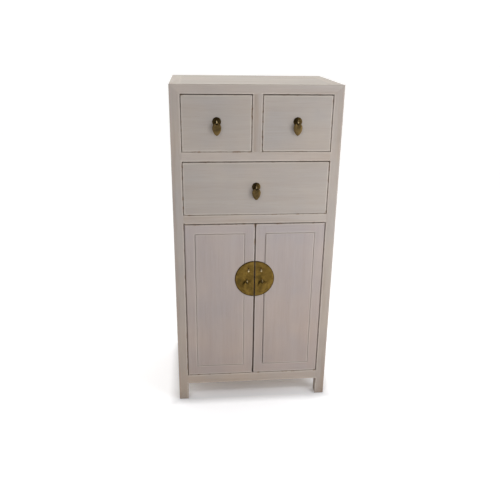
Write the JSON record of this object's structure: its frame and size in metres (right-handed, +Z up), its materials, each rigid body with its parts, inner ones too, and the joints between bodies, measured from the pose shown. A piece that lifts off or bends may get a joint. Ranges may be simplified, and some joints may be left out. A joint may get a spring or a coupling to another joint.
{
  "type": "apothecary cabinet",
  "caption": "Tall painted wooden cabinet with drawers over a pair of inset doors, a round brass plate shared by the doors and leaf-shaped drop pulls.",
  "frame": {"origin": "on the floor, under the middle of the whole object with its front fittings", "axes": "+Z up, the front with its drawers and doors faces -Y, +X to the right of someone who faces the front"},
  "size_m": [0.6, 0.4362, 1.25],
  "materials": {
    "painted_elm": "rubbed warm grey paint over elm, satin",
    "bare_elm": "unpainted elm, planed",
    "aged_brass": "aged olive-brown brass, satin",
    "dark_bronze": "blackened brass, semi-gloss"
  },
  "bodies": {
    "cabinet": {"post_front_left": "painted_elm", "post_front_right": "painted_elm", "post_rear_left": "painted_elm", "post_rear_right": "painted_elm", "top_rail_front": "painted_elm", "top_rail_rear": "painted_elm", "top_rails_side": "painted_elm", "top_panel": "painted_elm", "top_battens": "bare_elm", "drawer_divider": "painted_elm", "upper_rail_front": "painted_elm", "lower_rail_front": "painted_elm", "bottom_rail_front": "painted_elm", "side_rails": "painted_elm", "rear_rails": "painted_elm", "side_panels": "painted_elm", "back_panels": "bare_elm", "floor_board": "bare_elm", "shelf": "bare_elm", "shelf_cleats": "bare_elm", "drawer_runners": "bare_elm", "drawer_guides": "bare_elm", "stops": "bare_elm"},
    "left_drawer": {"left_drawer_front": "painted_elm", "left_drawer_sides": "bare_elm", "left_drawer_back": "bare_elm", "left_drawer_bottom": "bare_elm", "left_drawer_rosette": "dark_bronze", "left_drawer_eyelet": "aged_brass"},
    "left_drawer_pull": {"left_drawer_pendant": "aged_brass"},
    "right_drawer": {"right_drawer_front": "painted_elm", "right_drawer_sides": "bare_elm", "right_drawer_back": "bare_elm", "right_drawer_bottom": "bare_elm", "right_drawer_rosette": "dark_bronze", "right_drawer_eyelet": "aged_brass"},
    "right_drawer_pull": {"right_drawer_pendant": "aged_brass"},
    "wide_drawer": {"wide_drawer_front": "painted_elm", "wide_drawer_sides": "bare_elm", "wide_drawer_back": "bare_elm", "wide_drawer_bottom": "bare_elm", "wide_drawer_rosette": "dark_bronze", "wide_drawer_eyelet": "aged_brass"},
    "wide_drawer_pull": {"wide_drawer_pendant": "aged_brass"},
    "left_door": {"left_door_stiles": "painted_elm", "left_door_rails": "painted_elm", "left_door_panel": "painted_elm", "left_door_pivots": "bare_elm", "left_door_plate": "aged_brass", "left_door_staple": "aged_brass", "left_door_eyelet": "aged_brass"},
    "left_door_pull": {"left_door_pendant": "aged_brass"},
    "right_door": {"right_door_stiles": "painted_elm", "right_door_rails": "painted_elm", "right_door_panel": "painted_elm", "right_door_pivots": "bare_elm", "right_door_plate": "aged_brass", "right_door_staple": "aged_brass", "right_door_eyelet": "aged_brass"},
    "right_door_pull": {"right_door_pendant": "aged_brass"}
  },
  "joints": [
    {"name": "left_drawer_slide", "type": "slide", "parent": "cabinet", "child": "left_drawer", "axis": [0, -1, 0], "range_m": [0, 0.28]},
    {"name": "right_drawer_slide", "type": "slide", "parent": "cabinet", "child": "right_drawer", "axis": [0, -1, 0], "range_m": [0, 0.28]},
    {"name": "wide_drawer_slide", "type": "slide", "parent": "cabinet", "child": "wide_drawer", "axis": [0, -1, 0], "range_m": [0, 0.28]},
    {"name": "left_door_hinge", "type": "hinge", "parent": "cabinet", "child": "left_door", "pos_m": [-0.2515, -0.1929, 0.435], "axis": [0, 0, -1], "range_deg": [0, 100]},
    {"name": "right_door_hinge", "type": "hinge", "parent": "cabinet", "child": "right_door", "pos_m": [0.2515, -0.1929, 0.435], "axis": [0, 0, 1], "range_deg": [0, 100]},
    {"name": "left_drawer_pull_swing", "type": "hinge", "parent": "left_drawer", "child": "left_drawer_pull", "pos_m": [-0.1405, -0.2116, 1.12465], "axis": [-1, 0, 0], "range_deg": [-7, 90]},
    {"name": "right_drawer_pull_swing", "type": "hinge", "parent": "right_drawer", "child": "right_drawer_pull", "pos_m": [0.1405, -0.2116, 1.12465], "axis": [-1, 0, 0], "range_deg": [-7, 90]},
    {"name": "wide_drawer_pull_swing", "type": "hinge", "parent": "wide_drawer", "child": "wide_drawer_pull", "pos_m": [0, -0.2116, 0.89465], "axis": [-1, 0, 0], "range_deg": [-7, 90]},
    {"name": "left_door_pull_swing", "type": "hinge", "parent": "left_door", "child": "left_door_pull", "pos_m": [-0.029, -0.2116, 0.52815], "axis": [-1, 0, 0], "range_deg": [-7, 90]},
    {"name": "right_door_pull_swing", "type": "hinge", "parent": "right_door", "child": "right_door_pull", "pos_m": [0.029, -0.2116, 0.52815], "axis": [-1, 0, 0], "range_deg": [-7, 90]}
  ]
}
